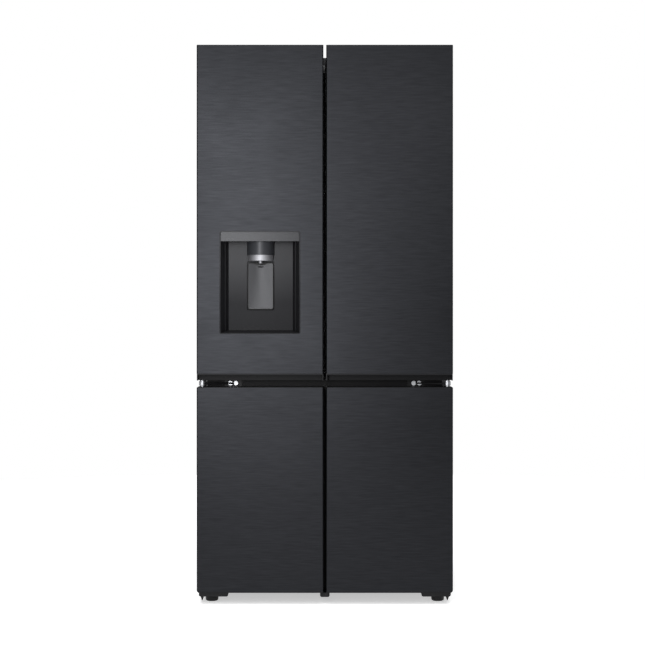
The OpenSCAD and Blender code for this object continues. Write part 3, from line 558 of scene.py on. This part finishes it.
def recess_beads():
    """A moulded bead down each side wall of the dispenser's recess."""
    low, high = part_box("dispenser_recess")
    y = FRONT + 38 * MM
    inset = 15 * MM
    bottom = low.z + 9 * MM
    top = high.z - 29 * MM
    beads = bmesh.new()
    for x in (low.x + inset, high.x - inset):
        tube(beads, [(x, y, bottom), (x, y, top)], 3 * MM, 16)
    finish_piece("recess_beads", beads, "upper_left_door", "dispenser_plastic")


def paddle_painted_shade():
    """A soft near-black rubber ring round the paddle, painted shade for the gap round it, and a
    flat dark wedge at its top behind the spout, a painted shadow of the hollow there.
    """
    low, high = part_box("paddle")
    centre = (low.x + high.x) / 2
    edges = (centre - PADDLE_WIDTH / 2, centre + PADDLE_WIDTH / 2)
    corner = 7 * MM
    # Painted shade: a near-black rubber ring along the paddle's edge stands in for the shaded gap
    # round it.
    rim = bmesh.new()
    route = rounded_route(rectangle_loop(edges, (low.z, high.z), low.y + 1.2 * MM), corner,
                          closed=True)
    tube(rim, route, 1.6 * MM, 10, closed=True)
    # Painted shadow: a thin flat dark wedge at the paddle's top stands in for the shadow of the
    # hollow behind the spout.
    wide, narrow = 24 * MM, 12 * MM
    top, bottom = high.z - 1 * MM, high.z - 7 * MM
    loft(rim, [[(centre - wide, y, top), (centre - narrow, y, bottom),
                (centre + narrow, y, bottom), (centre + wide, y, top)]
               for y in (low.y + 0.8 * MM, low.y + 3.4 * MM)])
    finish_piece("paddle_painted_shade", rim, "paddle_lever", "gasket_rubber", "painted_shade_rubber")


def paddle_mark():
    """The plain pill-shaped mark on the paddle, where a label would be."""
    low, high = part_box("paddle")
    mark = bmesh.new()
    centre = Vector(((low.x + high.x) / 2, low.y + 1.4 * MM, high.z - 13 * MM))
    half = 10 * MM
    flattening = (1, 0.22)
    lathe(mark, centre, (0, -1, 0), [(half, 0), (half, 0.5 * MM), (0.9 * half, 0.8 * MM)],
          32, flattening)
    finish_piece("paddle_mark", mark, "paddle_lever", "grey_plastic", "dark_mark")


def lower_hinge_bolts():
    """Bolts that hold the lower hinge plates to the base frame, seen from below."""
    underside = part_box("door_brackets")[0].z + CONE_TIP_TO_PLATE
    y = -275 * MM
    bolts = bmesh.new()
    for _, sign in SIDES:
        for x in (322 * MM, 338 * MM):
            bolt_head(bolts, (sign * x, y, underside), (0, 0, -1), 4.5 * MM, 3.5 * MM)
    finish_piece("lower_hinge_bolts", bolts, "cabinet", "zinc")


def top_cover_screws():
    """Two screws in each hinge cover."""
    low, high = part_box("hinge_covers")
    x = 375 * MM
    screws = bmesh.new()
    for _, sign in SIDES:
        for y in (low.y + 40 * MM, high.y - 16 * MM):
            screw_head(screws, (sign * x, y, high.z), (0, 0, 1), 4 * MM, 1.8 * MM)
    finish_piece("hinge_cover_screws", screws, "cabinet", "zinc")


def ceiling_lamp():
    """The LED strip on the fresh food compartment's ceiling, with its ribbed cover."""
    half = 150 * MM
    lamp = bmesh.new()
    rounded_box(lamp, (-half, -120 * MM, CEILING - 7 * MM), (half, -70 * MM, CEILING - 0.2 * MM),
                3 * MM)
    finish_piece("ceiling_lamp_frame", lamp, "cabinet", "white_plastic")
    lens = bmesh.new()
    first = -138 * MM
    pitch = 11.6 * MM
    rib = 11 * MM
    bottom = CEILING - 9.5 * MM
    top = CEILING - 6.5 * MM
    for i in range(24):
        x = first + i * pitch
        rounded_box(lens, (x, -114 * MM, bottom), (x + rib, -76 * MM, top), 1.2 * MM, 2)
    finish_piece("ceiling_lamp_cover", lens, "cabinet", "white_plastic", "lamp_cover")


def shelf_trims():
    """The bright metal strip along each shelf's front edge."""
    low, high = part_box("shelf_frames")
    inset = 14 * MM
    half = 3 * MM
    strips = bmesh.new()
    for z in SHELF_HEIGHTS:
        rounded_box(strips, (low.x + inset, low.y - 0.8 * MM, z - half),
                    (high.x - inset, low.y + 0.4 * MM, z + half), 0.4 * MM, 2)
    finish_piece("shelf_trims", strips, "cabinet", "zinc", "bright_trim")


# ---------- studio ----------

CAMERA_DISTANCE = 5.0
CAMERA_HEIGHT = 0.9115
CAMERA_SHIFT = -0.0036
FIELD_WIDTH = 2.0771
SENSOR = 36.0
ROOM_LIGHT = 0.18
LIGHT_DISTANCE = 2.1
FLOOR_RADIUS = 4


def build_camera():
    """A long lens straight in front, level with the middle of the doors."""
    camera = bpy.data.cameras.new("camera")
    camera.sensor_width = SENSOR
    camera.lens = SENSOR * CAMERA_DISTANCE / FIELD_WIDTH
    camera.shift_x = CAMERA_SHIFT
    camera.clip_start = 0.05
    camera.clip_end = 200
    rig = bpy.data.objects.new("camera", camera)
    bpy.context.scene.collection.objects.link(rig)
    rig.location = (0, FRONT - CAMERA_DISTANCE, CAMERA_HEIGHT)
    rig.rotation_euler = (math.radians(90), 0, 0)
    bpy.context.scene.camera = rig


def softbox(name, x, z, size, power, roll=0):
    """A soft rectangular light in front of the doors, facing them squarely."""
    light = bpy.data.lights.new(name, "AREA")
    light.shape = "RECTANGLE"
    light.size, light.size_y = size
    light.energy = power
    lamp = bpy.data.objects.new(name, light)
    bpy.context.scene.collection.objects.link(lamp)
    lamp.location = (x, FRONT - LIGHT_DISTANCE, z)
    facing = Vector((0, 1, 0)).to_track_quat("-Z", "Y").to_matrix()
    lamp.rotation_euler = (facing @ Matrix.Rotation(math.radians(roll), 3, "Z")).to_euler()
    lamp.visible_camera = False


def overhead(strength, tilt, spread):
    """Very soft light from above and a little in front, which keeps the floor pale."""
    light = bpy.data.lights.new("overhead", "SUN")
    light.energy = strength
    light.angle = math.radians(spread)
    lamp = bpy.data.objects.new("overhead", light)
    bpy.context.scene.collection.objects.link(lamp)
    lamp.location = (0, -1, 4)
    lamp.rotation_euler = (math.radians(tilt), 0, 0)


def build_studio():
    """A dim white room with a white backdrop, two soft lights, light from above and the floor."""
    world = bpy.data.worlds.new("studio")
    bpy.context.scene.world = world
    world.use_nodes = True
    tree = world.node_tree
    room = tree.nodes["Background"]
    room.inputs["Color"].default_value = (0.97, 0.98, 1.0, 1)
    room.inputs["Strength"].default_value = ROOM_LIGHT
    backdrop = tree.nodes.new("ShaderNodeBackground")
    backdrop.inputs["Color"].default_value = (1, 1, 1, 1)
    rays = tree.nodes.new("ShaderNodeLightPath")
    mix = tree.nodes.new("ShaderNodeMixShader")
    tree.links.new(rays.outputs["Is Camera Ray"], mix.inputs["Fac"])
    tree.links.new(room.outputs["Background"], mix.inputs[1])
    tree.links.new(backdrop.outputs["Background"], mix.inputs[2])
    tree.links.new(mix.outputs["Shader"], tree.nodes["World Output"].inputs["Surface"])

    softbox("key", -0.44, 1.3, (0.35, 1.6), 43, 7)
    softbox("fill", 0.45, 1.95, (0.5, 0.9), 7)
    overhead(strength=2.6, tilt=20, spread=50)

    floor_mesh = bmesh.new()
    bmesh.ops.create_circle(floor_mesh, cap_ends=True, segments=96, radius=FLOOR_RADIUS)
    mesh = bpy.data.meshes.new("floor")
    floor_mesh.to_mesh(mesh)
    floor_mesh.free()
    floor = bpy.data.objects.new("floor", mesh)
    bpy.context.scene.collection.objects.link(floor)
    finish = new_material("floor_finish", (0.85, 0.85, 0.85), 0.0, 0.9,
                          Emission_Color=(1, 1, 1, 1), Emission_Strength=0.5)
    bump(finish, noise(finish, 30), 0.02, 0.001)
    mesh.materials.append(finish)
    bpy.context.scene.view_settings.view_transform = "Standard"


build_camera()
build_studio()
dress_nodes()
gasket_folds()
spout_tip()
dispenser_seal()
recess_beads()
paddle_painted_shade()
paddle_mark()
lower_hinge_bolts()
top_cover_screws()
ceiling_lamp()
shelf_trims()
